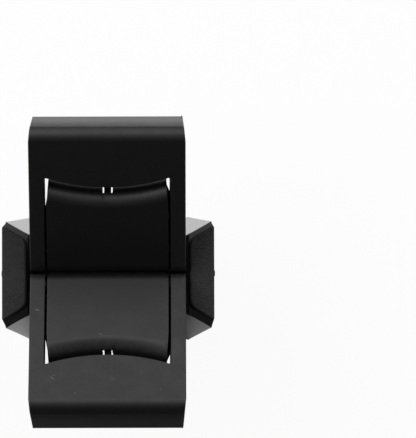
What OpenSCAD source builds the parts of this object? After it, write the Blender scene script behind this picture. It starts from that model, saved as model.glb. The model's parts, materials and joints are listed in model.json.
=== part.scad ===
// Cup holder insert: a tapered plug that sits in the neck between two cup wells,
// with a fixed saddle, two grained wings and two sprung arms that reach over the wells.
// X runs across the wings, Y from well to well, Z up. The origin is the middle of the foot.

/* [Neck plug] */
// Height of the plug below the wings
plug_height = 22; // [16:0.5:28]
// Half the width of the plug at its foot
foot_half_x = 15.2; // [13:0.1:17]
// Half the width of the plug at its shoulders
shoulder_half_x = 19.7; // [18.5:0.1:21]
// Wall thickness of the plug
plug_wall = 2; // [1.2:0.1:2.6]
// Thickness of the plug's top plate
top_plate = 3; // [2:0.1:5]
// Thickness of the middle rib inside the plug
rib_t = 2; // [1.2:0.1:4]
// Radius of each cup well's wall at the height of the plug's shoulders
well_shoulder_r = 35.8; // [34.8:0.1:36.6]
// Draft angle of the plug's two hollow sides
plug_draft = 10.1; // [5:0.1:10.8]
// Distance from the middle of the neck to the axis of a cup well
well_offset = 40.1; // [39.5:0.1:42]

/* [Wings] */
// Height of the wings above the plug
wing_height = 8.5; // [6:0.1:11]
// Draft angle of the hollow ends of the wings
wing_draft = 7.6; // [5:0.1:9]
// Gap between a wing and the side of the arms
arm_wing_gap = 0.6; // [0.3:0.05:0.8]
// How far the outer face of a wing leans out over the plug's shoulder
wing_lean = 0.38; // [0:0.02:1]
// Radius of the wings' inner corners at the top
wing_corner_r = 2.3; // [0.9:0.1:2.4]
// Radius of the wings' inner corners at the foot
wing_foot_r = 0.6; // [0.4:0.1:1.5]
// Radius of the wings' outer corners and outer top edges
wing_edge_r = 0.3; // [0.2:0.05:0.6]
// Radius of the wings' inner top edges
wing_rim_r = 0.6; // [0.2:0.05:0.8]
// Radius of the pegs under the wings
peg_r = 1.3; // [1:0.1:1.6]
// Length of the pegs under the wings
peg_length = 2.4; // [1:0.1:3]
// Distance from the middle of a wing to each of its pegs
peg_y = 4; // [2.5:0.1:5]
// How far the snap nub stands out of a wing
nub_height = 0.15; // [0.1:0.05:0.6]
// Radius of the snap nub where it meets the wing
nub_r = 1.2; // [0.8:0.1:1.6]
// Radius of the snap nub's tip
nub_tip_r = 0.5; // [0.3:0.05:0.7]
// Distance from the top of a wing down to its snap nub
nub_drop = 2.4; // [2:0.1:4]

/* [Arms] */
// Slope of the arms' top faces
arm_slope = 32; // [28:0.5:36]
// Height of the valley between the arms above the wings
valley_rise = 1.5; // [1:0.1:3]
// Width of the gap between the two arms at the valley
valley_gap = 0.3; // [0.2:0.05:0.5]
// Half the width of an arm
arm_half_x = 14.7; // [14.4:0.05:14.95]
// Distance from the valley to the corner of an arm's crest
crest_y = 26.2; // [24:0.1:30]
// Radius of the rounding over the crest
crest_r = 2; // [0.8:0.05:2.2]
// Height of the end leg below the corner of the crest
leg_height = 12.5; // [9:0.1:14]
// Flare angle of the end leg
leg_flare = 14; // [8:0.5:18]
// Thickness of the arm's top plate
plate_t = 1.8; // [1.2:0.1:2.1]
// Thickness of the end leg
leg_t = 1.8; // [1.2:0.1:2.6]
// Thickness of the arm's cheeks
cheek_t = 1.3; // [1:0.1:1.4]
// Radius of the end leg's upright corners
leg_corner_r = 0.8; // [0.4:0.1:1.2]
// How much narrower each side of an arm is at the foot of its end leg
leg_inset = 0.55; // [0:0.05:0.6]
// Radius of the curve along the lower edge of a cheek
belly_r = 30; // [24:1:60]

/* [Windows and tongues] */
// Width of the strip on each side of the window in an arm
strip_w = 2.8; // [2.5:0.05:3.2]
// Draft angle of the sides of the window, which narrow towards the underside of the plate
window_draft = 8; // [0.5:0.5:9]
// Distance from the valley to the end of the window, on the middle line
window_end_y = 15.6; // [14.5:0.1:17]
// Radius of the arc at the end of the window
window_arc_r = 34.2; // [30:0.1:60]
// Radius of the two corners at the end of the window
window_corner_r = 0.4; // [0.2:0.05:0.8]
// Gap between the sides of a tongue and its window
tongue_gap = 0.45; // [0.25:0.05:0.6]
// How far a tongue's end wall lies beyond the edge of the window
tongue_reach = 0.6; // [0.2:0.05:0.9]
// Radius of the rolled end of a tongue
tongue_round_r = 3; // [2.2:0.1:3.8]
// Distance from the valley to the place where a tongue begins to narrow
tongue_narrow_y = 11.5; // [6:0.5:14]
// How much narrower each side of a tongue is at its end
tongue_narrow = 0.3; // [0:0.05:0.35]
// Wall thickness of the saddle
saddle_wall = 1.4; // [1:0.1:1.8]
// Height of the saddle's walls' lower edge below the valley
saddle_hem = 1; // [0.2:0.1:1.2]
// How far the sides of the saddle's block stand in from the sides of the tongues
block_inset = 0.4; // [0.1:0.1:1.5]
// How far the saddle's block stays behind the walls of the wells
block_setback = 0.2; // [0:0.05:0.6]
// Gap between the hem lips beside the tongues and the catch pegs
lip_gap = 0.3; // [0.2:0.05:0.5]
// Thickness of the hem lips
lip_t = 0.8; // [0.5:0.1:1.2]
// Length over which a hem lip narrows before it begins to taper
lip_run = 1.2; // [0.6:0.1:2.4]
// Distance from the valley to the place where the left hem lips begin to taper
left_lip_end = 12.2; // [9:0.1:15.4]
// How far the left hem lips reach under the window's edge at that place
left_lip_cover = 0.25; // [0.05:0.05:0.3]
// Distance from the valley to the place where the right hem lips begin to taper
right_lip_end = 15.4; // [9:0.1:15.4]
// How far the right hem lips reach under the window's edge at that place
right_lip_cover = 0.05; // [0.05:0.05:0.3]

/* [Open stop] */
// Width of the stop lug and of the finger under it
stop_width = 1.25; // [1:0.05:3]
// Width of the slit on each side of the finger
slit_width = 0.35; // [0.3:0.05:0.8]
// Depth of the notch in the end of a tongue that the finger stands in
notch_depth = 1.45; // [1.3:0.05:1.8]
// Height of the finger's top above the valley
stop_height = 5.7; // [5.5:0.05:6]
// Depth of the stop finger with its root, along the arm
finger_depth = 3; // [2.6:0.1:4]
// Depth of the stop lug, along the arm
lug_depth = 1.6; // [1:0.1:1.9]
// Distance from the end of the window back to the stop lug
lug_setback = 0.1; // [0.1:0.05:0.4]
// Gap between the lug and the finger at rest
stop_gap = 0.02; // [0.01:0.01:0.1]

/* [Hinges] */
// Distance from the middle of the neck to a hinge axis
hinge_y = 2.6; // [2.5:0.05:3]
// Radius of the hinge pins
pin_r = 1; // [0.8:0.05:1.1]
// Radial clearance of the hinge pins in their bores
pin_clearance = 0.03; // [0.01:0.01:0.1]
// How far the ends of the pins sit back in the cheeks
pin_setback = 0.15; // [0.05:0.05:0.5]

/* [Springs] */
// Thickness of the spring wire
wire_d = 0.4; // [0.3:0.02:0.42]
// Radius of the coil, to the middle of the wire
coil_r = 1.5; // [1.4:0.02:1.55]
// Full turns in the coil
coil_turns = 2; // [1:1:2]
// Gap between the coil and the side of the saddle
coil_side_gap = 0.1; // [0.1:0.05:0.2]
// Gap between neighbouring turns of the coil
coil_gap = 0.02; // [0.01:0.01:0.04]
// Room round the coil in the knuckle of the arm
coil_room = 0.25; // [0.1:0.05:0.3]
// Length of the spring leg that lies along the arm
arm_leg_length = 7; // [5:0.1:8]
// Depth of the other spring leg in its hole in the plug
spring_seat = 1.5; // [0.8:0.1:1.8]
// Radius of the catch peg that holds the spring leg on the arm
catch_r = 0.5; // [0.3:0.05:0.7]
// Distance from the end of the spring leg to the catch peg
catch_inset = 1; // [0.6:0.1:2]

/* [Screws] */
// Radius of the screws that hold the saddle
screw_r = 1.25; // [1:0.05:1.4]
// Length of the screws above the top plate
screw_grip = 6; // [4:0.1:6.4]
// Radius of the screw heads
screw_head_r = 2.4; // [1.8:0.1:2.6]
// Height of the screw heads
screw_head_h = 1.6; // [1:0.1:2]
// How much narrower the face of a screw head is than its underside, in radius
head_taper = 0.5; // [0.2:0.1:0.8]
// Width of the cross slots in the screw heads
slot_w = 0.6; // [0.4:0.05:0.8]
// Length of the cross slots in the screw heads
slot_length = 2.9; // [2:0.1:3.2]
// Distance from the middle to each screw
screw_x = 5.5; // [4:0.1:7]

/* [Hidden] */
$fn = 72;

fit_gap = 0.05;
eps = 0.01;
// How far a rounding stands proud of the face it runs into, so that the two cross cleanly
blend = 0.01;
// How far cutters run past the faces that they cut
over = 1;
far = 40;

// Heights
wing_top_z = plug_height + wing_height;
valley_z = wing_top_z + valley_rise;

// The hinge: the knuckle is tangent to the arm's top face and stops short of the other arm
knuckle_r = hinge_y - valley_gap / 2;
hinge_h = tan(arm_slope) * hinge_y - (knuckle_r - blend) / cos(arm_slope);
hinge_point = [hinge_y, hinge_h];
hinge_z = valley_z + hinge_h;
bore_r = pin_r + pin_clearance;
pin_half = arm_half_x - pin_setback;

// Directions in the side view: up the slope, square to it and down the leg
slope_dir = [cos(arm_slope), sin(arm_slope)];
slope_out = [-sin(arm_slope), cos(arm_slope)];
leg_dir = [sin(leg_flare), -cos(leg_flare)];

// The crest and the end leg
crest_turn = arm_slope + 90 - leg_flare;
crest_tangent = crest_r * tan(crest_turn / 2);
crest_corner = [crest_y, crest_y * tan(arm_slope)];
crest_centre = crest_corner - crest_tangent * slope_dir - crest_r * slope_out;
leg_foot = crest_corner + leg_height / cos(leg_flare) * leg_dir;
knuckle_foot = hinge_point - [0, knuckle_r];

// The inside corner under the crest: plate_t below the top face and leg_t behind the leg
corner_sin = sin(crest_turn);
inner_corner = crest_corner
    - (leg_t - plate_t * cos(crest_turn)) / corner_sin * slope_dir
    - plate_t * slope_out;

// The belly of the cheeks: a circle through the foot of the leg and of the knuckle
belly_chord = leg_foot - knuckle_foot;
belly_half = norm(belly_chord) / 2;
belly_normal = [-belly_chord[1], belly_chord[0]] / norm(belly_chord);
belly_rise = sqrt(belly_r * belly_r - belly_half * belly_half);
belly_centre = (leg_foot + knuckle_foot) / 2 + belly_rise * belly_normal;

// Across the width: wings, cheeks, window, saddle and the room between them
wing_inner_x = arm_half_x + arm_wing_gap;
wing_outer_x = shoulder_half_x + wing_lean;
cheek_inner_x = arm_half_x - cheek_t;
window_half_x = arm_half_x - strip_w;
// The draft of the window's sides ends a little below the plate
draft_depth = plate_t + fit_gap;
window_low_x = window_half_x - draft_depth * tan(window_draft);
saddle_half_x = window_half_x - tongue_gap;
block_half_x = saddle_half_x - block_inset;
coil_start_x = saddle_half_x + coil_side_gap + wire_d / 2;
coil_pitch = wire_d + coil_gap;
coil_end_angle = 360 * coil_turns + 270 + arm_slope;
coil_end_x = coil_start_x + coil_pitch * coil_end_angle / 360;
catch_x = coil_end_x - wire_d;
lip_half_x = catch_x - lip_gap;

// The window and the rolled end of a tongue, in the plane of the arm's slope
window_end_s = window_end_y / cos(arm_slope);
arc_centre_s = window_end_s + window_arc_r;
tongue_end_y = window_end_y + tongue_reach;
roll_s = (tongue_end_y - tongue_round_r * (1 + sin(arm_slope))) / cos(arm_slope);
roll_y = tongue_end_y - tongue_round_r;
roll_z = roll_s * sin(arm_slope) - (tongue_round_r - blend) * cos(arm_slope);

// The stop
notch_half_x = stop_width / 2 + slit_width;
notch_y = tongue_end_y - notch_depth;
finger_y = tongue_end_y - finger_depth;
lug_y = window_end_y + lug_setback;
under_plate = plate_t / cos(arm_slope);

// The pegs stand in the middle of the wing's foot
peg_x = (wing_inner_x + shoulder_half_x) / 2;

// Radius of a well's wall at height z, beside the plug or the wings
function well_r(z) =
    well_shoulder_r + (z - plug_height) * tan(z < plug_height ? plug_draft : wing_draft);
// Half the thickness of the neck at x and z, less a setback
function neck_y(x, z, setback) = well_offset - sqrt(pow(well_r(z) + setback, 2) - x * x);
// Half the width of the plug at height z
function plug_x(z) = foot_half_x + (shoulder_half_x - foot_half_x) * z / plug_height;

// Height of the middle of a tongue's rolled wall above the valley, at y
function wall_z(y) = roll_z + sqrt(pow(tongue_round_r - saddle_wall / 2, 2) - pow(y - roll_y, 2));

// A unit vector
function unit(v) = v / norm(v);

// Draws a side view, given as (Y, Z above the valley), from x0 to x1
module across(x0, x1) {
    translate([x0, 0, valley_z]) rotate([90, 0, 90]) linear_extrude(x1 - x0) children();
}

// Stands its children on the slope of the rear arm: x across, y up the slope, z square to it
module on_slope() {
    translate([0, 0, valley_z]) rotate([arm_slope, 0, 0]) children();
}

// The rear piece and its mirror image at the front
module both_ends() {
    children();
    mirror([0, 1, 0]) children();
}

// The right piece and its mirror image at the left
module both_sides() {
    children();
    mirror([1, 0, 0]) children();
}

// The two cup wells, as tapered round cutters, moved back by a setback
module wells(setback) {
    z1 = valley_z + far;
    both_ends() translate([0, well_offset, 0]) rotate_extrude() polygon([
        [0, -eps],
        [well_r(-eps) + setback, -eps],
        [well_shoulder_r + setback, plug_height],
        [well_r(z1) + setback, z1],
        [0, z1]
    ]);
}

// Solid of the neck between two heights, with its faces moved in by a setback
module neck(z0, z1, setback) {
    difference() {
        rotate([90, 0, 0]) linear_extrude(2 * far, center = true)
            polygon([
                [-plug_x(z0) + setback, z0], [plug_x(z0) - setback, z0],
                [plug_x(z1) - setback, z1], [-plug_x(z1) + setback, z1]
            ]);
        wells(setback);
    }
}

module plug_body() {
    color("#2c2c2d") difference() {
        neck(0, plug_height, 0);
        difference() {
            neck(-over, plug_height - top_plate, plug_wall);
            translate([-rib_t / 2, -far, -2 * over]) cube([rib_t, 2 * far, plug_height]);
        }
        both_sides() translate([screw_x, 0, 0]) cylinder(h = plug_height + over, r = screw_r + fit_gap);
        both_sides() both_ends() translate([peg_x, peg_y, plug_height - peg_length - fit_gap])
            cylinder(h = peg_length + over, r = peg_r + fit_gap);
        both_sides() both_ends()
            translate([coil_start_x, hinge_y + coil_r, plug_height - spring_seat - fit_gap])
                cylinder(h = spring_seat + over, r = wire_d / 2 + 2 * fit_gap);
    }
}

// Round corner of a wing's top: a disc with a rounded upper rim
module wing_corner(x, r, rim_r) {
    y = neck_y(x, wing_top_z, r);
    translate([x, y, wing_top_z - rim_r]) rotate_extrude($fn = 32) {
        square([r, eps]);
        intersection() {
            translate([r - rim_r, 0]) circle(rim_r, $fn = 32);
            square([r, rim_r]);
        }
        square([max(r - rim_r, eps), rim_r]);
    }
}

// Round corner of a wing's foot
module wing_foot(x, r) {
    translate([x, neck_y(x, plug_height, r), plug_height]) cylinder(h = eps, r = r, $fn = 32);
}

module right_wing() {
    inner_r = min(wing_corner_r, (wing_outer_x - wing_inner_x) / 2);
    color("#303032") {
        hull() both_ends() {
            wing_corner(wing_inner_x + inner_r, inner_r, min(wing_rim_r, inner_r));
            wing_corner(wing_outer_x - wing_edge_r, wing_edge_r, wing_edge_r);
            wing_foot(wing_inner_x + wing_foot_r, wing_foot_r);
            wing_foot(shoulder_half_x - wing_edge_r, wing_edge_r);
        }
        both_ends() translate([peg_x, peg_y, plug_height - peg_length])
            cylinder(h = peg_length + over, r = peg_r);
        translate([wing_outer_x - over, 0, wing_top_z - nub_drop]) rotate([0, 90, 0])
            cylinder(h = over + nub_height, r1 = nub_r, r2 = nub_tip_r);
    }
}

module left_wing() {
    mirror([1, 0, 0]) right_wing();
}

// Outline of an arm in the side view: knuckle, sloping face, rounded crest, flared leg, belly
module arm_outline() {
    translate(hinge_point) circle(knuckle_r);
    translate(crest_centre) circle(crest_r + blend / 2);
    intersection() {
        polygon([
            hinge_point,
            hinge_point + (knuckle_r - blend) * slope_out,
            crest_corner - crest_tangent * slope_dir,
            crest_corner + crest_tangent * leg_dir,
            leg_foot,
            [leg_foot[0], -far],
            [hinge_y, -far]
        ]);
        translate(belly_centre) circle(belly_r, $fn = 180);
    }
}

// The hollow under an arm in the side view
module arm_hollow() {
    polygon([
        inner_corner - far * slope_dir,
        inner_corner,
        inner_corner + far * leg_dir,
        [-far, -far]
    ]);
}

// Plan of the arm seen along the leg, with its two upright corners rounded
module leg_plan() {
    inner = arm_half_x - leg_corner_r;
    translate([-arm_half_x, -2 * far]) square([2 * arm_half_x, 2 * far - leg_corner_r]);
    translate([-inner, -2 * far]) square([2 * inner, 2 * far]);
    for (side = [-1, 1]) translate([side * inner, -leg_corner_r]) circle(leg_corner_r);
}

// Plan of the arm from above: it narrows from the crest to the foot of the end leg
module arm_plan() {
    foot_half = arm_half_x - leg_inset;
    start_y = crest_corner[0] - crest_tangent * cos(arm_slope);
    polygon([
        [-arm_half_x, -far], [arm_half_x, -far], [arm_half_x, start_y],
        [foot_half, leg_foot[0]], [foot_half, far],
        [-foot_half, far], [-foot_half, leg_foot[0]], [-arm_half_x, start_y]
    ]);
}

// What stays standing in the right corner at the end of the window
module window_corner() {
    r = window_corner_r;
    centre_s = arc_centre_s - sqrt(pow(window_arc_r + r, 2) - pow(window_half_x - r, 2));
    centre = [window_half_x - r, centre_s];
    to_arc = unit([0, arc_centre_s] - centre);
    difference() {
        polygon([centre, centre + [2 * r, 0], centre + [2 * r, 3 * r], centre + 3 * r * to_arc]);
        translate(centre) circle(r + blend);
    }
}

// The window of an arm, cut square to its slope, with a draft on its sides
module window_cut() {
    on_slope() intersection() {
        translate([0, 0, -far]) linear_extrude(2 * far) difference() {
            translate([-window_half_x, -far]) square([2 * window_half_x, 2 * far]);
            translate([0, arc_centre_s]) circle(window_arc_r, $fn = 180);
            both_sides() window_corner();
        }
        rotate([90, 0, 0]) linear_extrude(2 * far, center = true) polygon([
            [window_half_x, far], [window_half_x, 0],
            [window_low_x, -draft_depth], [window_low_x, -far],
            [-window_low_x, -far], [-window_low_x, -draft_depth],
            [-window_half_x, 0], [-window_half_x, far]
        ]);
    }
}

// The lug under the end of the window that rests on the saddle's finger
module stop_lug() {
    y1 = lug_y + lug_depth;
    z0 = stop_height + stop_gap;
    across(-stop_width / 2, stop_width / 2) polygon([
        [lug_y, z0],
        [y1, z0],
        [y1, y1 * tan(arm_slope) - under_plate / 2],
        [lug_y, lug_y * tan(arm_slope) - under_plate / 2]
    ]);
}

// Peg on the inner face of a cheek that the spring leg presses down
module spring_catch() {
    along = arm_leg_length - catch_inset;
    below = coil_r + wire_d / 2 + catch_r + fit_gap;
    across(catch_x, cheek_inner_x + eps)
        translate(hinge_point + along * slope_dir - below * slope_out) circle(catch_r);
}

module rear_arm() {
    color("#232324") {
        difference() {
            intersection() {
                across(-arm_half_x, arm_half_x) arm_outline();
                translate([0, crest_corner[0], valley_z + crest_corner[1]])
                    rotate([leg_flare, 0, 0]) translate([0, 0, -far])
                        linear_extrude(2 * far) leg_plan();
                linear_extrude(2 * far) arm_plan();
            }
            across(-cheek_inner_x, cheek_inner_x) arm_hollow();
            window_cut();
            across(-cheek_inner_x, cheek_inner_x)
                translate(hinge_point) circle(coil_r + wire_d / 2 + coil_room);
            across(-far, far) translate(hinge_point) circle(bore_r);
        }
        stop_lug();
        both_sides() spring_catch();
    }
}

module front_arm() {
    mirror([0, 1, 0]) rear_arm();
}

// Room inside the rolled end of a tongue, with its faces moved in by a setback
module rolled_end(setback) {
    r = tongue_round_r - setback;
    centre = [arc_centre_s - roll_s, -tongue_round_r + blend];
    edge = centre - r * [cos(arm_slope), sin(arm_slope)];
    on_slope() translate([0, arc_centre_s, 0]) rotate_extrude($fn = 180) {
        translate(centre) circle(r);
        polygon([
            centre,
            [centre[0], over],
            [arc_centre_s + far, over],
            [arc_centre_s + far, -far],
            edge + far * [sin(arm_slope), -cos(arm_slope)],
            edge
        ]);
    }
}

// Space under the sloping face of a tongue, with its faces moved in by a setback
module tongue_space(half_x, setback, floor_h) {
    start = hinge_point + (knuckle_r - blend - setback) * slope_out;
    intersection() {
        across(-half_x, half_x) polygon([
            [hinge_y, floor_h],
            start,
            start + far * slope_dir,
            [start[0] + far, floor_h]
        ]);
        rolled_end(setback);
    }
}

// Plan of a tongue from above: its sides narrow towards its end
module tongue_plan(setback) {
    half_x = saddle_half_x - setback;
    end_half_x = half_x - tongue_narrow * (far - tongue_narrow_y) / (tongue_end_y - tongue_narrow_y);
    linear_extrude(2 * far) polygon([
        [-half_x, 0], [half_x, 0], [half_x, tongue_narrow_y], [end_half_x, far],
        [-end_half_x, far], [-half_x, tongue_narrow_y]
    ]);
}

// The rear tongue: a hollow canopy with side walls and an end wall
module tongue() {
    difference() {
        intersection() {
            tongue_space(saddle_half_x, 0, -saddle_hem);
            tongue_plan(0);
        }
        intersection() {
            tongue_space(saddle_half_x - saddle_wall, saddle_wall, -far / 2);
            tongue_plan(saddle_wall);
        }
    }
}

// The finger that holds up the stop lug of the rear arm. Its root ends in the middle of the
// tongue's wall
module stop_finger() {
    across(-stop_width / 2, stop_width / 2) polygon([
        [finger_y, -saddle_hem],
        [tongue_end_y, -saddle_hem],
        [tongue_end_y, stop_height],
        [notch_y, stop_height],
        [notch_y, max(wall_z(notch_y), stop_height + eps)],
        [finger_y, wall_z(finger_y)]
    ]);
}

// Right lip along the hem of the rear tongue, which closes the gap beside it from below: from
// end_y on it tapers towards the end wall and leaves the gap open
module hem_lip(end_y, cover) {
    y0 = hinge_y + knuckle_r + coil_room;
    y1 = tongue_end_y + saddle_wall / 2;
    translate([0, 0, valley_z - saddle_hem]) linear_extrude(lip_t) polygon([
        [block_half_x, y0],
        [lip_half_x, y0],
        [lip_half_x, end_y - lip_run],
        [window_low_x + cover, end_y],
        [block_half_x, y1]
    ]);
}

module saddle() {
    color("#1d1d1e") difference() {
        union() {
            intersection() {
                neck(plug_height, hinge_z, block_setback);
                translate([-block_half_x, -far, plug_height])
                    cube([2 * block_half_x, 2 * far, hinge_z - plug_height]);
            }
            both_ends() {
                across(-saddle_half_x, saddle_half_x) translate(hinge_point) circle(knuckle_r);
                difference() {
                    tongue();
                    across(-notch_half_x, notch_half_x)
                        translate([notch_y, -far]) square([far, 2 * far]);
                }
                stop_finger();
                mirror([1, 0, 0]) hem_lip(left_lip_end, left_lip_cover);
                hem_lip(right_lip_end, right_lip_cover);
            }
        }
        both_ends() across(-far, far) translate(hinge_point) circle(bore_r);
        both_sides() translate([screw_x, 0, plug_height - over])
            cylinder(h = over + screw_grip + fit_gap, r = screw_r + fit_gap);
    }
}

module rear_pin() {
    color("#b4b6b8") across(-pin_half, pin_half) translate(hinge_point) circle(pin_r);
}

module front_pin() {
    mirror([0, 1, 0]) rear_pin();
}

// The route of a spring's wire: up out of the plug, round the pin, out along the arm
coil_step = 30;
coil_count = ceil(coil_end_angle / coil_step);
coil_points = [
    for (i = [0 : coil_count])
        let (angle = coil_end_angle * i / coil_count)
        [
            coil_start_x + coil_pitch * angle / 360,
            hinge_y + coil_r * cos(angle),
            hinge_z + coil_r * sin(angle)
        ]
];
leg_start = [coil_start_x, hinge_y + coil_r, plug_height - spring_seat];
leg_end = coil_points[coil_count] + arm_leg_length * [0, cos(arm_slope), sin(arm_slope)];
spring_route = concat([leg_start], coil_points, [leg_end]);

// Direction of a route at one of its points
function route_dir(route, i) =
    unit(route[min(i + 1, len(route) - 1)] - route[max(i - 1, 0)]);
// Ring of points round a route at one of its points
function ring(route, i, r, sides) =
    let (along = route_dir(route, i), up = unit(cross([1, 0, 0], along)), side = cross(along, up))
    [for (k = [0 : sides - 1]) route[i] + r * (cos(360 * k / sides) * up + sin(360 * k / sides) * side)];

// Round wire along a route, as one closed solid
module wire(route, r, sides = 8) {
    count = len(route);
    points = [for (i = [0 : count - 1]) each ring(route, i, r, sides)];
    walls = [
        for (i = [0 : count - 2]) for (k = [0 : sides - 1])
            let (a = i * sides + k, b = i * sides + (k + 1) % sides)
            each [[a, a + sides, b], [b, a + sides, b + sides]]
    ];
    start_cap = [[for (k = [0 : sides - 1]) k]];
    end_cap = [[for (k = [0 : sides - 1]) count * sides - 1 - k]];
    polyhedron(points, concat(walls, start_cap, end_cap));
}

module rear_right_spring() {
    color("#1c1c1d") wire(spring_route, wire_d / 2);
}

module rear_left_spring() {
    mirror([1, 0, 0]) rear_right_spring();
}

module front_right_spring() {
    mirror([0, 1, 0]) rear_right_spring();
}

module front_left_spring() {
    mirror([0, 1, 0]) rear_left_spring();
}

module saddle_screws() {
    under = plug_height - top_plate;
    color("#8f9194") both_sides() translate([screw_x, 0, 0]) {
        translate([0, 0, under]) cylinder(h = top_plate + screw_grip, r = screw_r);
        difference() {
            translate([0, 0, under - screw_head_h])
                cylinder(h = screw_head_h, r1 = screw_head_r - head_taper, r2 = screw_head_r);
            for (turn = [0, 90]) rotate([0, 0, turn])
                translate([-slot_length / 2, -slot_w / 2, under - screw_head_h - eps])
                    cube([slot_length, slot_w, screw_head_h / 2]);
        }
    }
}

plug_body();
saddle();
left_wing();
right_wing();
rear_arm();
front_arm();
rear_pin();
front_pin();
rear_left_spring();
rear_right_spring();
front_left_spring();
front_right_spring();
saddle_screws();
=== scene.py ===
# %% [markdown]
# # Cup holder insert
#
# This lesson dresses the insert that sits in the neck between two cup wells: a tapered plug, a
# fixed saddle, two grained wings and two sprung arms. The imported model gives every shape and
# place, in metres. The lesson softens the moulded edges, winds the springs, gives each piece a
# finish of its own and sets up the white table, the daylight and the camera over it.

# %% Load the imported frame
import json
import math

import bmesh
import bpy
from mathutils import Matrix, Vector

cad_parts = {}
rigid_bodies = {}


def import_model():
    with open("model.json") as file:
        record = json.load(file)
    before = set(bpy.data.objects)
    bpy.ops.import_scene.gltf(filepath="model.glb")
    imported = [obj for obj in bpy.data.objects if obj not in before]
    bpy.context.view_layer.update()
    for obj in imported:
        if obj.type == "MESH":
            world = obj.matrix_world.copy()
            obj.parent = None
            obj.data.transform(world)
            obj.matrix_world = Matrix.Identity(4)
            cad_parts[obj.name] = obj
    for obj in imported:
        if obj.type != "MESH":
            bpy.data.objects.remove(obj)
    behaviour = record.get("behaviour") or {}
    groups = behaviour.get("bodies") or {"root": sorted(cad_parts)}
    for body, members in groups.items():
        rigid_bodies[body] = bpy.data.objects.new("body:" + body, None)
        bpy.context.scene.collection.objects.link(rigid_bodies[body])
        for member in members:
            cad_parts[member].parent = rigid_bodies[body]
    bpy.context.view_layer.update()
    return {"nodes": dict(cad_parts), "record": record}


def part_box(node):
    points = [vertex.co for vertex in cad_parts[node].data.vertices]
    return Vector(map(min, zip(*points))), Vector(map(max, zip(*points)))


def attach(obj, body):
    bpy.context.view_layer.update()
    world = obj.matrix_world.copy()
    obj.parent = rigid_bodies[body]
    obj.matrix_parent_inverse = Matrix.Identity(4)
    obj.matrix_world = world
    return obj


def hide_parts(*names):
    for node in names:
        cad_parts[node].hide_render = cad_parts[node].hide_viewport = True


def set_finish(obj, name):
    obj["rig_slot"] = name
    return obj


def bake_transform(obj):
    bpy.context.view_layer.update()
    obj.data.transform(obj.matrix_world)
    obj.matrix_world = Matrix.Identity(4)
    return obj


for leftover in list(bpy.data.objects):
    bpy.data.objects.remove(leftover)
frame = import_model()
MM = 0.001

# %% [markdown]
# ## Soft moulded edges
#
# No moulded plastic edge is sharp: the tool has a small radius everywhere, and hands wear it a little rounder.
# The CAD edges are sharp, so each piece starts as a merged copy of its node, and the bevel operator rounds every
# edge that turns by more than 30 degrees. The new vertices in the middle of a rounding get a value in an
# attribute, and all others 0, so that a finish can lighten exactly the roundings: as wear where hands and cups
# touch them, and as a painted highlight along the front arm's window edge. A shader trick could fake the
# rounding, but real roundings also catch the light in an outline.

# %% Copy a node and round its edges
EDGE_TURN = math.radians(30)


def merged_copy(node):
    """The node's mesh as a bmesh, with its loose triangles joined and flat faces made one."""
    shape = bmesh.new()
    shape.from_mesh(frame["nodes"][node].data)
    bmesh.ops.remove_doubles(shape, verts=shape.verts, dist=0.002 * MM)
    bmesh.ops.dissolve_limit(
        shape, angle_limit=math.radians(0.3), verts=shape.verts, edges=shape.edges
    )
    return shape


def round_edges(shape, radius, wanted=None, segments=3, wear_and_highlight=1.0):
    """Rounds the sharp edges for which wanted says yes, and marks the middle of each rounding."""
    wear_and_highlight_mark = shape.verts.layers.float.get("wear_and_highlight_mark") or shape.verts.layers.float.new("wear_and_highlight_mark")
    sharp = [
        e
        for e in shape.edges
        if e.is_manifold and e.calc_face_angle() > EDGE_TURN and (wanted is None or wanted(e))
    ]
    made = bmesh.ops.bevel(
        shape,
        geom=sharp,
        offset=radius,
        offset_type="OFFSET",
        affect="EDGES",
        segments=segments,
        profile=0.5,
        material=-1,
    )
    rounding = set(made["faces"])
    for v in made["verts"]:
        if v.is_valid and all(f in rounding for f in v.link_faces):
            v[wear_and_highlight_mark] = wear_and_highlight
    return len(sharp)


def finish_piece(shape, name, slot, node, body="base"):
    """Makes the object of a shape, smooth but for what is still sharp, in place of its node."""
    for face in shape.faces:
        face.smooth = True
    for edge in shape.edges:
        edge.smooth = not (edge.is_manifold and edge.calc_face_angle() > EDGE_TURN)
    mesh = bpy.data.meshes.new(name)
    shape.to_mesh(mesh)
    shape.free()
    piece = bpy.data.objects.new(name, mesh)
    bpy.context.scene.collection.objects.link(piece)
    evened = piece.modifiers.new("even_shading", "WEIGHTED_NORMAL")
    evened.keep_sharp = True
    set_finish(piece, slot)
    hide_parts(node)
    if body:
        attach(piece, body)
    print(name, "has", len(mesh.polygons), "faces")
    return piece


# %% [markdown]
# ## The two arms
#
# Each arm is one moulding: a plate with a window, two cheeks, a rolled crest and a flared end leg. Its outer
# edges are rounded by about a quarter of a millimetre. The edges round the window are crisper: the window is shut
# off by steel against steel in the tool, which leaves a nearly sharp edge. Only the front arm's is rounder, and
# it is painted lighter along the rounding, a painted highlight where the light from behind catches it.

# %% Arms
def by_the_window(edge):
    """True for an edge at the window or inside the arm, where the roundings are smaller."""
    middle = (edge.verts[0].co + edge.verts[1].co) / 2
    return abs(middle.x) < 13.5 * MM


pieces = {}
for end in ("rear", "front"):
    shape = merged_copy(end + "_arm")
    # The front arm's inner roundings get the full mark, a painted highlight; the rear arm's get none.
    crisp, wear_and_highlight = (0.05, 0.0) if end == "rear" else (0.12, 1.0)
    inner = round_edges(shape, crisp * MM, by_the_window, segments=2, wear_and_highlight=wear_and_highlight)
    outer = round_edges(shape, 0.25 * MM, lambda edge: not by_the_window(edge), wear_and_highlight=0.5)
    print(end, "arm: rounded", inner, "inner and", outer, "outer edges")
    pieces[end + "_arm"] = finish_piece(
        shape, end + "_arm_moulding", "arm_plastic", end + "_arm", body=end + "_arm"
    )

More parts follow.
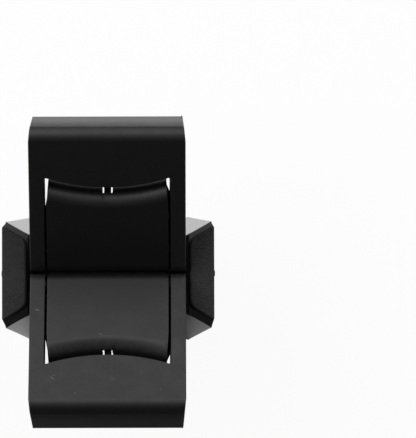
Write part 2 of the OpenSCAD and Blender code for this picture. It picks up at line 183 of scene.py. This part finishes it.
# %% [markdown]
# ## The saddle
#
# The saddle stays still between the arms. Its two tongues fill the windows, and their ends roll
# down under the arms' plates.

# %% Saddle
shape = merged_copy("saddle")
round_edges(shape, 0.15 * MM, segments=2)
pieces["saddle"] = finish_piece(shape, "saddle_moulding", "saddle_plastic", "saddle")

# %% [markdown]
# ## Plug and wings
#
# The plug is smooth and slides into the neck of the console. The wings close it at the top and
# carry the leather grain of the console around them.

# %% Plug and wings
shape = merged_copy("plug_body")
round_edges(shape, 0.2 * MM)
pieces["plug"] = finish_piece(shape, "plug_moulding", "plug_plastic", "plug_body")
for side in ("left", "right"):
    shape = merged_copy(side + "_wing")
    round_edges(shape, 0.25 * MM)
    pieces[side + "_wing"] = finish_piece(
        shape, side + "_wing_block", "wing_grain", side + "_wing"
    )

# %% Pins and screws
for end in ("rear", "front"):
    shape = merged_copy(end + "_pin")
    round_edges(shape, 0.12 * MM, segments=2)
    pieces[end + "_pin"] = finish_piece(shape, end + "_hinge_pin", "pin_steel", end + "_pin")
shape = merged_copy("saddle_screws")
round_edges(shape, 0.08 * MM, segments=2)
pieces["screws"] = finish_piece(shape, "saddle_screw_pair", "screw_steel", "saddle_screws")

# %% [markdown]
# ## The torsion springs
#
# A torsion spring is made on a coiling machine: the wire is fed over a mandrel, turn beside turn, and both ends
# are left straight. The model does the same. A ring of twelve points is drawn up out of the plug, spun round the
# hinge while it moves aside by one pitch a turn, and drawn out along the underside of the arm.

# %% Wind the springs
WIRE_R = 0.2 * MM
COIL_R = 1.5 * MM
PITCH = 0.42 * MM
COIL_ANGLE = 360 * 2 + 270 + 32
SLOPE = math.radians(32)
hinge_at = {j["child"]: Vector(j["pos_m"]) for j in frame["record"]["behaviour"]["joints"]}


def wind_spring(end, side):
    """One torsion spring: wound for the rear right hinge and mirrored to its own place."""
    y_sign = 1 if end == "rear" else -1
    x_sign = 1 if side == "right" else -1
    node = end + "_" + side + "_spring"
    low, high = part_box(node)
    hinge = hinge_at[end + "_arm"]
    start_x = min(abs(low[0]), abs(high[0])) + WIRE_R
    hinge_y, hinge_z = abs(hinge.y), hinge.z
    shape = bmesh.new()
    foot = Matrix.Translation((start_x, hinge_y + COIL_R, low[2]))
    ring = bmesh.ops.create_circle(shape, radius=WIRE_R, segments=12, matrix=foot)["verts"]
    edges = list({e for v in ring for e in v.link_edges})

    def draw_out(edges, way):
        made = bmesh.ops.extrude_edge_only(shape, edges=edges)["geom"]
        moved = [g for g in made if isinstance(g, bmesh.types.BMVert)]
        bmesh.ops.translate(shape, verts=moved, vec=way)
        return [g for g in made if isinstance(g, bmesh.types.BMEdge) and all(v in moved for v in g.verts)]

    edges = draw_out(edges, (0, 0, hinge_z - low[2]))
    steps = 84
    made = bmesh.ops.spin(
        shape,
        geom=edges,
        cent=(0, hinge_y, hinge_z),
        axis=(1, 0, 0),
        dvec=(PITCH * COIL_ANGLE / 360 / steps, 0, 0),
        angle=math.radians(COIL_ANGLE),
        steps=steps,
    )
    edges = [g for g in made["geom_last"] if isinstance(g, bmesh.types.BMEdge)]
    draw_out(edges, (0, 7 * MM * math.cos(SLOPE), 7 * MM * math.sin(SLOPE)))
    bmesh.ops.holes_fill(shape, edges=[e for e in shape.edges if e.is_boundary], sides=0)
    bmesh.ops.scale(shape, vec=(x_sign, y_sign, 1), verts=shape.verts)
    bmesh.ops.recalc_face_normals(shape, faces=shape.faces)
    piece = finish_piece(shape, node + "_wire", "spring_steel", node, body=None)
    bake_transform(piece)
    return piece


for end in ("rear", "front"):
    for side in ("left", "right"):
        pieces[end + "_" + side + "_spring"] = wind_spring(end, side)

# %% [markdown]
# ## Building finishes out of nodes
#
# A few short helpers keep the node trees readable. Each adds one node, feeds its sockets with
# either a number or another node's output, and returns what the next node needs. All patterns
# work in millimetres: one multiplication turns the object coordinates into them, so a size in a
# finish can be compared with a ruler.

# %% Node helpers
def put(tree, kind, sockets=None, **settings):
    """Adds a shader node. settings are its options, sockets its inputs by name or number."""
    node = tree.nodes.new("ShaderNode" + kind)
    for key, value in settings.items():
        setattr(node, key, value)
    for key, value in (sockets or {}).items():
        if isinstance(value, bpy.types.NodeSocket):
            tree.links.new(value, node.inputs[key])
        else:
            node.inputs[key].default_value = value
    return node


def calc(tree, operation, a, b=0.0, clamp=False):
    """One sum on two values."""
    return put(tree, "Math", {0: a, 1: b}, operation=operation, use_clamp=clamp).outputs[0]


def ramp(tree, value, low, high, to_low=0.0, to_high=1.0):
    """Turns value from low to high softly into to_low to to_high."""
    made = put(
        tree,
        "MapRange",
        {"Value": value, "From Min": low, "From Max": high, "To Min": to_low, "To Max": to_high},
        interpolation_type="SMOOTHSTEP",
    )
    return made.outputs["Result"]


def shade(tree, factor, a, b):
    """A colour between a and b."""
    colours = [v if isinstance(v, bpy.types.NodeSocket) else (v[0], v[1], v[2], 1) for v in (a, b)]
    made = put(tree, "Mix", {0: factor, 6: colours[0], 7: colours[1]}, data_type="RGBA")
    return made.outputs[2]


def new_group(name, inputs, outputs):
    """A node group with its input and output nodes. inputs maps a name to a kind or a number."""
    group = bpy.data.node_groups.new(name, "ShaderNodeTree")
    for label, given in inputs.items():
        kind = "NodeSocketVector" if given == "vector" else "NodeSocketFloat"
        socket = group.interface.new_socket(label, in_out="INPUT", socket_type=kind)
        if given != "vector":
            socket.default_value = given
    for label in outputs:
        group.interface.new_socket(label, in_out="OUTPUT", socket_type="NodeSocketFloat")
    return group, group.nodes.new("NodeGroupInput"), group.nodes.new("NodeGroupOutput")


def use(tree, group, sockets):
    """Puts a group into a tree and returns its outputs."""
    node = put(tree, "Group")
    node.node_tree = group
    for key, value in sockets.items():
        if isinstance(value, bpy.types.NodeSocket):
            tree.links.new(value, node.inputs[key])
        else:
            node.inputs[key].default_value = value
    return node.outputs


# %% [markdown]
# ## Fine matte texture
#
# The tool of an interior part is spark-eroded, which leaves a fine even roughness on the
# plastic. Two noises of about 0.4 mm and 0.15 mm make its height, and a third, slower one makes
# the slightly cloudy tone that comes from handling.

# %% Group: spark-eroded texture
eroded, given, result = new_group("spark_eroded", {"Place": "vector", "Per mm": 2.4}, ["Height", "Cloud"])
coarse = put(
    eroded,
    "TexNoise",
    {"Vector": given.outputs["Place"], "Scale": given.outputs["Per mm"], "Detail": 3, "Roughness": 0.65},
)
cloud = put(eroded, "TexNoise", {"Vector": given.outputs["Place"], "Scale": 0.3, "Detail": 5, "Roughness": 0.6})
eroded.links.new(coarse.outputs[0], result.inputs["Height"])
eroded.links.new(ramp(eroded, cloud.outputs[0], 0.35, 0.7), result.inputs["Cloud"])
print("Made the group", eroded.name)

# %% [markdown]
# ## Worn edges and the painted edge highlight
#
# Cups and hands polish the roundings first. The mark on the roundings says where a rounding is, and a noise
# breaks it up, so the wear comes and goes along an edge as it does on the real part. On the front arm's window
# edge the same mask paints a highlight.

# %% Group: worn edges and the painted edge highlight
wear_and_highlight, given, result = new_group("edge_wear_and_highlight", {"Place": "vector"}, ["Mask"])
rounding = put(wear_and_highlight, "Attribute", attribute_name="wear_and_highlight_mark")
patchy = put(wear_and_highlight, "TexNoise", {"Vector": given.outputs["Place"], "Scale": 0.45, "Detail": 4, "Roughness": 0.7})
mask = calc(wear_and_highlight, "MULTIPLY", rounding.outputs["Fac"], ramp(wear_and_highlight, patchy.outputs[0], 0.3, 0.62, 0.35, 1.0))
wear_and_highlight.links.new(mask, result.inputs["Mask"])
print("Made the group", wear_and_highlight.name)

# %% [markdown]
# ## Dust
#
# A black part is never clean in daylight. Each cell of a Voronoi pattern holds one grain of
# dust, and a threshold on the cell's own random value keeps only a few of them.

# %% Group: dust
dusty, given, result = new_group("dust", {"Place": "vector", "Per mm": 1.1, "Kept": 0.1, "Size": 0.1}, ["Mask"])
cells = put(dusty, "TexVoronoi", {"Vector": given.outputs["Place"], "Scale": given.outputs["Per mm"]})
chance = put(dusty, "TexWhiteNoise", {"Vector": cells.outputs["Position"]}, noise_dimensions="3D")
kept = calc(dusty, "LESS_THAN", chance.outputs["Value"], given.outputs["Kept"])
near = put(
    dusty,
    "MapRange",
    {"Value": cells.outputs["Distance"], "From Min": given.outputs["Size"], "From Max": 0.0},
    interpolation_type="SMOOTHSTEP",
)
dusty.links.new(calc(dusty, "MULTIPLY", kept, near.outputs["Result"]), result.inputs["Mask"])
print("Made the group", dusty.name)

# %% [markdown]
# ## Scuffs
#
# A scuff is one light stroke. The group takes the place of its middle and its half length,
# half width and turn, and fades out towards an ellipsoid round it, roughened by a noise so that
# the stroke looks dragged.

# %% Group: one scuff
scuffed, given, result = new_group(
    "scuff", {"Place": "vector", "Middle": "vector", "Turn": 0.0, "Half size": "vector"}, ["Mask"]
)
offset = put(scuffed, "VectorMath", {0: given.outputs["Place"], 1: given.outputs["Middle"]}, operation="SUBTRACT")
turned = put(
    scuffed,
    "VectorRotate",
    {"Vector": offset.outputs[0], "Angle": given.outputs["Turn"]},
    rotation_type="Z_AXIS",
)
sized = put(scuffed, "VectorMath", {0: turned.outputs[0], 1: given.outputs["Half size"]}, operation="DIVIDE")
reach = put(scuffed, "VectorMath", {0: sized.outputs[0]}, operation="LENGTH")
dragged = put(scuffed, "TexNoise", {"Vector": given.outputs["Place"], "Scale": 3.5, "Detail": 3})
stroke = calc(
    scuffed,
    "MULTIPLY",
    ramp(scuffed, reach.outputs["Value"], 1.0, 0.35),
    ramp(scuffed, dragged.outputs[0], 0.35, 0.6, 0.25, 1.0),
)
scuffed.links.new(stroke, result.inputs["Mask"])
print("Made the group", scuffed.name)

# %% [markdown]
# ## Leather grain
#
# The wings copy the leather of the console. Leather is a field of small pebbles with creases
# between them: the distance to the edge of warped Voronoi cells gives the pebbles, at 0.35 mm,
# and finer ones of 0.15 mm sit on top.

# %% Group: leather grain
leather, given, result = new_group("leather_grain", {"Place": "vector"}, ["Height", "Crease"])
warp = put(leather, "TexNoise", {"Vector": given.outputs["Place"], "Scale": 1.3, "Detail": 2})
pushed = put(
    leather,
    "VectorMath",
    {0: warp.outputs["Color"], 1: (0.45, 0.45, 0.45), 2: given.outputs["Place"]},
    operation="MULTIPLY_ADD",
)
pebbles = put(leather, "TexVoronoi", {"Vector": pushed.outputs[0], "Scale": 2.9}, feature="DISTANCE_TO_EDGE")
small = put(leather, "TexVoronoi", {"Vector": pushed.outputs[0], "Scale": 6.5}, feature="DISTANCE_TO_EDGE")
big_height = ramp(leather, pebbles.outputs["Distance"], 0.0, 0.3)
small_height = ramp(leather, small.outputs["Distance"], 0.0, 0.3)
height = calc(leather, "MULTIPLY_ADD", small_height, 0.35)
height.node.inputs[2].default_value = 0.0
leather.links.new(big_height, height.node.inputs[2])
leather.links.new(height, result.inputs["Height"])
leather.links.new(ramp(leather, pebbles.outputs["Distance"], 0.14, 0.0), result.inputs["Crease"])
print("Made the group", leather.name)

# %% [markdown]
# ## Hollow ends
#
# The two ends of a wing follow the wall of the cup well beside it, which is a cone. The grain stops there: the
# tool slides out along these faces, so they are plain and dull. Their colour is also painted darker, a painted
# shade. The group works out how far a point is from that cone and gives 1 on it.

# %% Group: hollow ends
WELL_Y = 40.1
WELL_R = 35.8
WELL_Z = 22
WELL_DRAFT = math.radians(7.6)
hollow, given, result = new_group("hollow_end", {"Place": "vector"}, ["Mask"])
axes = put(hollow, "SeparateXYZ", {0: given.outputs["Place"]}).outputs
to_axis = calc(hollow, "SUBTRACT", WELL_Y, calc(hollow, "ABSOLUTE", axes["Y"]))
level = put(hollow, "CombineXYZ", {0: axes["X"], 1: to_axis})
reach = put(hollow, "VectorMath", {0: level.outputs[0]}, operation="LENGTH").outputs["Value"]
wall = calc(hollow, "MULTIPLY_ADD", calc(hollow, "SUBTRACT", axes["Z"], WELL_Z), math.tan(WELL_DRAFT))
wall.node.inputs[2].default_value = WELL_R
behind = calc(hollow, "SUBTRACT", reach, wall)
hollow.links.new(ramp(hollow, behind, 0.22, 0.1), result.inputs["Mask"])
print("Made the group", hollow.name)

# %% [markdown]
# ## Ridge highlights and valley shade
#
# A lighter band along the ridge where a tongue rolls down is a painted highlight. The ridge follows the arc of
# the window, so the group measures how far a point is from that arc's centre, in the plane of the slope, and
# gives 1 on a band at the ridge. Its second output tells how far up the slope a point is, since the low end near
# the valley is painted darker, a painted shade.

# %% Group: ridge highlight and valley shade
ARC_CENTRE = 52.6
VALLEY_Z = 32
ridge_light_and_shade, given, result = new_group("ridge_highlight_and_valley_shade", {"Place": "vector"}, ["Mask", "Along"])
axes = put(ridge_light_and_shade, "SeparateXYZ", {0: given.outputs["Place"]}).outputs
outward = calc(ridge_light_and_shade, "MULTIPLY", calc(ridge_light_and_shade, "ABSOLUTE", axes["Y"]), math.cos(SLOPE))
along = calc(ridge_light_and_shade, "MULTIPLY_ADD", calc(ridge_light_and_shade, "SUBTRACT", axes["Z"], VALLEY_Z), math.sin(SLOPE))
ridge_light_and_shade.links.new(outward, along.node.inputs[2])
level = put(ridge_light_and_shade, "CombineXYZ", {0: axes["X"], 1: calc(ridge_light_and_shade, "SUBTRACT", ARC_CENTRE, along)})
reach = put(ridge_light_and_shade, "VectorMath", {0: level.outputs[0]}, operation="LENGTH").outputs["Value"]
band = calc(ridge_light_and_shade, "MULTIPLY", ramp(ridge_light_and_shade, reach, 37.8, 36.7), ramp(ridge_light_and_shade, reach, 36.1, 36.5))
streaky = put(ridge_light_and_shade, "TexNoise", {"Vector": given.outputs["Place"], "Scale": 1.2, "Detail": 4})
band = calc(ridge_light_and_shade, "MULTIPLY", band, ramp(ridge_light_and_shade, streaky.outputs[0], 0.3, 0.7, 0.5, 1.0))
ridge_light_and_shade.links.new(band, result.inputs["Mask"])
ridge_light_and_shade.links.new(along, result.inputs["Along"])
print("Made the group", ridge_light_and_shade.name)

# %% [markdown]
# ## The plastics
#
# All the plastics are black and differ in their surface. One function builds them from the groups: a dark colour
# that clouds towards a lighter one, edges that are worn lighter and smoother, with a painted highlight on the
# front arm's window edge, a painted highlight on the saddle's ridges and painted shade near its valley, grains of
# dust, and the part's scuffs. The arms' end legs slide along the walls of the wells, so they are smoother than
# the plates; their colour is lighter towards the foot. Values that are the same all over are set on the shader
# itself.

# %% Plastic finish
def start_material(name):
    """A material with its shader, and the object coordinates in millimetres."""
    made = bpy.data.materials.new(name)
    made.use_nodes = True
    tree = made.node_tree
    shader = tree.nodes["Principled BSDF"]
    place = put(tree, "TexCoord").outputs["Object"]
    place = put(tree, "VectorMath", {0: place, 1: (1000, 1000, 1000)}, operation="MULTIPLY").outputs[0]
    return made, tree, shader, place


SCUFF_TONE = 0.16


def black_plastic(name, dark, light, edge_tone, roughness, grain, bump, scuffs=(), dust=0.1, leg=None, ridge=None):
    """A moulded black plastic. Roughness is for its plain, clouded and worn edge parts. The edge colour is wear,
    and a painted highlight on the front arm's window edge.
    """
    made, tree, shader, place = start_material(name)
    texture = use(tree, eroded, {"Place": place, "Per mm": grain})
    edges = use(tree, wear_and_highlight, {"Place": place})["Mask"]
    grains = use(tree, dusty, {"Place": place, "Kept": dust})["Mask"]
    tone = shade(tree, texture["Cloud"], dark, light)
    speckled = ramp(tree, texture["Height"], 0.25, 0.75, 0.7, 1.3)
    tone = put(tree, "VectorMath", {0: tone, "Scale": speckled}, operation="SCALE").outputs[0]
    tone = shade(tree, edges, tone, edge_tone)
    rough = ramp(tree, texture["Cloud"], 0.0, 1.0, roughness[0], roughness[1])
    rough = put(tree, "Mix", {0: edges, 2: rough, 3: roughness[2]}).outputs[0]
    if leg:
        axes = put(tree, "SeparateXYZ", {0: place}).outputs
        on_leg = ramp(tree, calc(tree, "ABSOLUTE", axes["Y"]), 26.6, 28.5)
        rough = put(tree, "Mix", {0: on_leg, 2: rough, 3: leg[0]}).outputs[0]
        # The leg's colour is lighter towards its foot.
        low = calc(tree, "MULTIPLY", on_leg, ramp(tree, axes["Z"], 47, 36))
        tone = shade(tree, low, tone, [leg[1]] * 3)
    if ridge:
        # Painted shade darkens each tongue towards the valley, and a painted highlight lightens its ridge.
        bands = use(tree, ridge_light_and_shade, {"Place": place})
        tone = shade(tree, ramp(tree, bands["Along"], 12, 2, 0.0, 0.6), tone, (0.002, 0.002, 0.002))
        tone = shade(tree, bands["Mask"], tone, [ridge] * 3)
    marks = None
    for middle, turn, half_size, strength in scuffs:
        mark = use(
            tree,
            scuffed,
            {"Place": place, "Middle": middle, "Turn": math.radians(turn), "Half size": half_size},
        )["Mask"]
        mark = calc(tree, "MULTIPLY", mark, strength)
        marks = mark if marks is None else calc(tree, "MAXIMUM", marks, mark)
    if marks is not None:
        tone = shade(tree, marks, tone, [SCUFF_TONE] * 3)
    tone = shade(tree, grains, tone, (0.12, 0.12, 0.12))
    tree.links.new(tone, shader.inputs["Base Color"])
    tree.links.new(rough, shader.inputs["Roughness"])
    raised = put(tree, "Bump", {"Strength": 1.0, "Distance": bump * MM, "Height": texture["Height"]})
    tree.links.new(raised.outputs[0], shader.inputs["Normal"])
    return made


# Middle, turn, half size and strength of each mark in the photo, in millimetres and degrees
ARM_SCUFFS = (
    ((-13.28, -7.1, 36.44), 14, (0.73, 0.12, 1.5), 0.8),
    ((-10.3, -20.0, 44.5), 34, (0.67, 0.12, 1.5), 0.5),
    ((-10.0, -19.5, 44.2), -20, (0.5, 0.1, 1.5), 0.35),
    ((-11.1, -16.66, 42.4), 70, (0.4, 0.12, 1.5), 0.4),
    ((0.92, -20.19, 44.6), 10, (1.2, 0.6, 1.5), 0.08),
    ((9.9, -22.09, 45.8), 60, (0.35, 0.12, 1.5), 0.3),
    ((-5.96, -22.85, 46.3), 0, (0.2, 0.2, 1.5), 0.4),
    ((12.9, -14.4, 41.0), 0, (1.6, 2.6, 4.0), 0.09),
)
SADDLE_SCUFFS = (((-1.26, -11.77, 39.35), 32, (0.72, 0.1, 1.5), 0.6),)

finishes = {
    "arm_plastic": black_plastic(
        "arm_plastic",
        (0.006, 0.006, 0.006),
        (0.0085, 0.0085, 0.0085),
        (0.016, 0.016, 0.016),
        (0.54, 0.5, 0.44),
        grain=2.4,
        bump=0.014,
        scuffs=ARM_SCUFFS,
        leg=(0.35, 0.014),
    ),
    "saddle_plastic": black_plastic(
        "saddle_plastic",
        (0.0055, 0.0055, 0.0055),
        (0.0075, 0.0075, 0.0075),
        (0.014, 0.014, 0.014),
        (0.5, 0.46, 0.42),
        grain=3.2,
        bump=0.010,
        scuffs=SADDLE_SCUFFS,
        ridge=0.022,
    ),
    "plug_plastic": black_plastic(
        "plug_plastic",
        (0.009, 0.009, 0.0092),
        (0.012, 0.012, 0.0122),
        (0.03, 0.03, 0.03),
        (0.1, 0.14, 0.22),
        grain=0.9,
        bump=0.002,
    ),
}
gloss = finishes["plug_plastic"].node_tree.nodes["Principled BSDF"]
gloss.inputs["Coat Weight"].default_value = 1.0
gloss.inputs["Coat Roughness"].default_value = 0.08

# %% [markdown]
# ## The grained wings
#
# The wings take the leather grain. Its creases are rougher, since nothing polishes them, and their colour is
# darker as painted shade in the creases.

# %% Wing finish
made, tree, shader, place = start_material("wing_grain")
texture = use(tree, leather, {"Place": place})
end_wall = use(tree, hollow, {"Place": place})["Mask"]
fine = use(tree, eroded, {"Place": place, "Per mm": 3.0})
edges = use(tree, wear_and_highlight, {"Place": place})["Mask"]
grains = use(tree, dusty, {"Place": place, "Kept": 0.1})["Mask"]
tone = shade(tree, fine["Cloud"], (0.011, 0.011, 0.0118), (0.014, 0.014, 0.015))
# Painted shade in the creases of the grain.
tone = shade(tree, texture["Crease"], tone, (0.004, 0.004, 0.0044))
tone = shade(tree, edges, tone, (0.02, 0.02, 0.021))
tone = shade(tree, grains, tone, (0.12, 0.12, 0.12))
# Painted shade on the wings' end walls.
tone = shade(tree, end_wall, tone, (0.004, 0.004, 0.0042))
rough = ramp(tree, texture["Crease"], 0.0, 1.0, 0.5, 0.75)
rough = put(tree, "Mix", {0: end_wall, 2: rough, 3: 0.85}).outputs[0]
height = calc(tree, "MULTIPLY_ADD", fine["Height"], 0.25)
grained = calc(tree, "MULTIPLY", texture["Height"], calc(tree, "SUBTRACT", 1.0, end_wall))
tree.links.new(grained, height.node.inputs[2])
raised = put(tree, "Bump", {"Strength": 1.0, "Distance": 0.03 * MM, "Height": height})
tree.links.new(tone, shader.inputs["Base Color"])
tree.links.new(rough, shader.inputs["Roughness"])
tree.links.new(raised.outputs[0], shader.inputs["Normal"])
finishes["wing_grain"] = made

# %% [markdown]
# ## Steel
#
# Pins, spring wire and screws are steel. Drawing through a die leaves fine lines along the
# wire, so the noise is stretched along it, and the zinc on the screws is blotchy instead.

# %% Steel finishes
def steel(name, tone, edge_tone, roughness, lines, bump):
    """Drawn or plated steel. lines stretches the pattern along X, Y and Z."""
    made, tree, shader, place = start_material(name)
    drawn = put(tree, "VectorMath", {0: place, 1: lines}, operation="MULTIPLY").outputs[0]
    streaks = put(tree, "TexNoise", {"Vector": drawn, "Scale": 6.0, "Detail": 4, "Roughness": 0.6})
    blotches = put(tree, "TexNoise", {"Vector": place, "Scale": 0.7, "Detail": 3})
    edges = use(tree, wear_and_highlight, {"Place": place})["Mask"]
    colour = shade(tree, ramp(tree, streaks.outputs[0], 0.3, 0.7), tone, [0.8 * v for v in tone])
    colour = shade(tree, ramp(tree, blotches.outputs[0], 0.45, 0.7, 0.0, 0.5), colour, [0.55 * v for v in tone])
    colour = shade(tree, edges, colour, edge_tone)
    rough = ramp(tree, streaks.outputs[0], 0.3, 0.7, roughness, roughness + 0.15)
    raised = put(tree, "Bump", {"Strength": 0.6, "Distance": bump * MM, "Height": streaks.outputs[0]})
    tree.links.new(colour, shader.inputs["Base Color"])
    tree.links.new(rough, shader.inputs["Roughness"])
    tree.links.new(raised.outputs[0], shader.inputs["Normal"])
    shader.inputs["Metallic"].default_value = 1.0
    return made


finishes["pin_steel"] = steel("pin_steel", (0.06, 0.06, 0.062), (0.12, 0.12, 0.12), 0.5, (0.08, 1, 1), 0.006)
finishes["spring_steel"] = steel(
    "spring_steel", (0.09, 0.09, 0.095), (0.16, 0.16, 0.16), 0.4, (1, 0.3, 0.3), 0.005
)
finishes["screw_steel"] = steel("screw_steel", (0.5, 0.51, 0.53), (0.65, 0.65, 0.66), 0.28, (1, 1, 1), 0.008)

# %% Hand out the finishes
for piece in pieces.values():
    piece.data.materials.clear()
    piece.data.materials.append(finishes[piece["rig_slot"]])

# %% [markdown]
# ## Table and light
#
# The photo was cut out on white, with the soft shadow kept. The table is a large white sheet that the camera sees
# almost white, yet still with the object's shadow, while it lights the part from below as an ordinary white table
# does, except where painted shade darkens it: dark strips under, in front of and far behind the part, and a
# greyer stretch in front, stand in for shadow on the table. Three large soft lamps, behind the rear well and to
# its left and right, stand for the window.

# %% Table
bm = bmesh.new()
bmesh.ops.create_grid(bm, x_segments=1, y_segments=1, size=3.0)
mesh = bpy.data.meshes.new("table")
bm.to_mesh(mesh)
bm.free()
table = bpy.data.objects.new("table", mesh)
bpy.context.scene.collection.objects.link(table)
paint = bpy.data.materials.new("table_white")
paint.use_nodes = True
tree = paint.node_tree
tree.nodes.clear()
spot = put(tree, "TexCoord").outputs["Object"]
spot = put(tree, "VectorMath", {0: spot, 1: (1000, 1000, 1000)}, operation="MULTIPLY").outputs[0]
spot = put(tree, "SeparateXYZ", {0: spot}).outputs
across = calc(tree, "ABSOLUTE", spot["X"])


def shade_strip(half_x, rear, front):
    """1 on a strip of painted shade on the table, with soft edges, and 0 beside it."""
    inside = ramp(tree, across, half_x + 2, half_x - 2)
    inside = calc(tree, "MULTIPLY", inside, ramp(tree, spot["Y"], rear + 3, rear - 3))
    return calc(tree, "MULTIPLY", inside, ramp(tree, spot["Y"], front - 3, front + 3))


# Painted shade on the table: dark strips under the arms, in front of the part and far behind it.
dark = calc(tree, "MAXIMUM", shade_strip(11, 36, -30), shade_strip(60, -75, -400))
dark = calc(tree, "MAXIMUM", dark, calc(tree, "MULTIPLY", 0.9, shade_strip(60, -29, -80)))
dark = calc(tree, "MAXIMUM", dark, shade_strip(60, 150, 74))
# Painted shade: the table greyer in front of the part.
before = ramp(tree, spot["Y"], 6, -6)
front_shade_tone = shade(tree, before, (1.0, 1.0, 1.0), (0.85, 0.85, 0.85))
lit = put(tree, "BsdfDiffuse", {"Color": shade(tree, dark, front_shade_tone, (0.04, 0.04, 0.04))})
faint = put(tree, "BsdfDiffuse", {"Color": (0.07, 0.07, 0.07, 1)})
glow = put(tree, "Emission", {"Color": (0.93, 0.93, 0.93, 1)})
shown = put(tree, "AddShader", {0: faint.outputs[0], 1: glow.outputs[0]})
seen = put(tree, "LightPath").outputs["Is Camera Ray"]
mixed = put(tree, "MixShader", {0: seen, 1: lit.outputs[0], 2: shown.outputs[0]})
put(tree, "OutputMaterial", {0: mixed.outputs[0]})
table.data.materials.append(paint)

# %% Room and window light
world = bpy.data.worlds.new("room")
bpy.context.scene.world = world
world.use_nodes = True
tree = world.node_tree
tree.nodes.clear()
seen = put(tree, "LightPath").outputs["Is Camera Ray"]
sky = put(tree, "Background", {"Color": shade(tree, seen, (0.03, 0.03, 0.03), (1, 1, 1))})
put(tree, "OutputWorld", {0: sky.outputs[0]})


def lamp(name, size, watts, azimuth, elevation, distance, target):
    """A square soft lamp. Azimuth 0 is over the rear well and 90 over the left wing."""
    a, e = math.radians(azimuth), math.radians(elevation)
    away = Vector((-math.sin(a) * math.cos(e), math.cos(a) * math.cos(e), math.sin(e)))
    data = bpy.data.lights.new(name, "AREA")
    data.size = size
    data.energy = watts
    light = bpy.data.objects.new(name, data)
    light.rotation_mode = "QUATERNION"
    light.location = target + distance * away
    light.rotation_quaternion = away.to_track_quat("Z", "Y")
    bpy.context.scene.collection.objects.link(light)
    return light


middle = Vector((0, 0, 0.03))
for name, azimuth, watts in (("left", 60, 8.4), ("behind", 0, 4.6), ("right", -60, 3.6)):
    lamp("window_" + name, 1.0, watts, azimuth, 36, 1.0, middle)

# %% [markdown]
# ## Camera
#
# The photo is taken from about one metre above, a little in front of the middle. The place,
# turn and lens below were found by fitting known points of the part to their places in the
# photo.

# %% Camera
camera = bpy.data.objects.new("camera", bpy.data.cameras.new("camera"))
camera.data.sensor_width = 36
camera.data.sensor_fit = "AUTO"
camera.data.lens = 435.619
camera.data.clip_start = 0.1
camera.data.clip_end = 10
camera.location = (13.08 * MM, -35.44 * MM, 1032 * MM)
camera.rotation_euler = [math.radians(v) for v in (2.6092, -0.3264, -0.1598)]
bpy.context.scene.collection.objects.link(camera)
bpy.context.scene.camera = camera
bpy.context.scene.view_settings.view_transform = "Standard"
